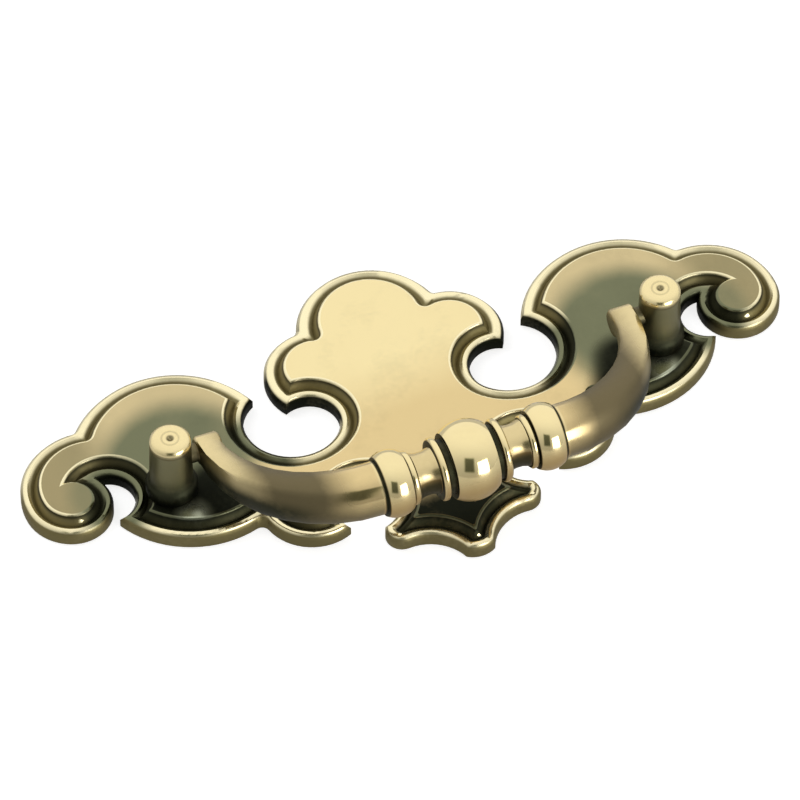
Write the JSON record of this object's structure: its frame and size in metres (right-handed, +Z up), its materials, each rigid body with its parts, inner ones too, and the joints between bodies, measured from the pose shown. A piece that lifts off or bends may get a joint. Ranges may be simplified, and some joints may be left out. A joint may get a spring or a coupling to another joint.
{
  "type": "bail pull",
  "caption": "Scrolled cast drawer pull: a bail with a turned grip swings between posts on a moulded backplate.",
  "frame": {"origin": "on the plate's flat back, midway between the two posts' axes", "axes": "+Z up and +X right as the pull hangs on a drawer front, -Y out towards the hand"},
  "size_m": [0.118, 0.0213, 0.0551],
  "materials": {
    "plate_brass": "antiqued, raised faces rubbed bright",
    "post_brass": "antiqued, bright top",
    "bail_brass": "polished over antiquing"
  },
  "bodies": {
    "plate": {"backplate": "plate_brass", "left_post": "post_brass", "right_post": "post_brass"},
    "bail": {"bail": "bail_brass"}
  },
  "joints": [
    {"name": "bail_swing", "type": "hinge", "parent": "plate", "child": "bail", "pos_m": [0, -0.0096, 0], "axis": [-1, 0, 0], "range_deg": [-15, 163]}
  ]
}
